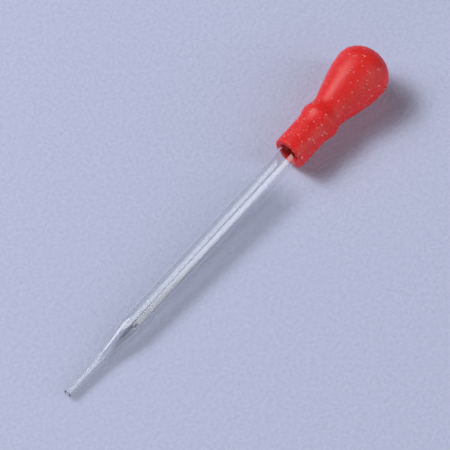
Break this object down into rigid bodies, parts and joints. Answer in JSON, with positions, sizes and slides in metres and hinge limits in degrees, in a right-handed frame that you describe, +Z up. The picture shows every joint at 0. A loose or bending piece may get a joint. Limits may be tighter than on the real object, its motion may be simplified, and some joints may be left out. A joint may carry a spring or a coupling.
{
  "type": "medicine dropper",
  "caption": "Drawn glass dropper pipette with a slender open nozzle and a pear-shaped rubber squeeze bulb pushed over its flared end.",
  "frame": {"origin": "middle of the footprint, on the surface that the dropper lies on", "axes": "+X from the glass tip towards the rubber bulb, in the plane of the dropper's long axis, +Z up; the long axis climbs 2.83 degrees from tip to bulb"},
  "size_m": [0.1498, 0.0182, 0.0181],
  "materials": {
    "clear_glass": "clear fire-polished drawn glass tube",
    "red_rubber": "soft satin moulded red rubber with pale dust specks"
  },
  "bodies": {
    "glass": {"glass_pipette": "clear_glass"},
    "bulb": {"rubber_bulb": "red_rubber"}
  },
  "joints": [
    {"name": "bulb_pull_off", "type": "slide", "parent": "glass", "child": "bulb", "axis": [0.9988, 0, 0.0493], "range_m": [0, 0.025], "deforming": ["rubber_bulb"]}
  ]
}
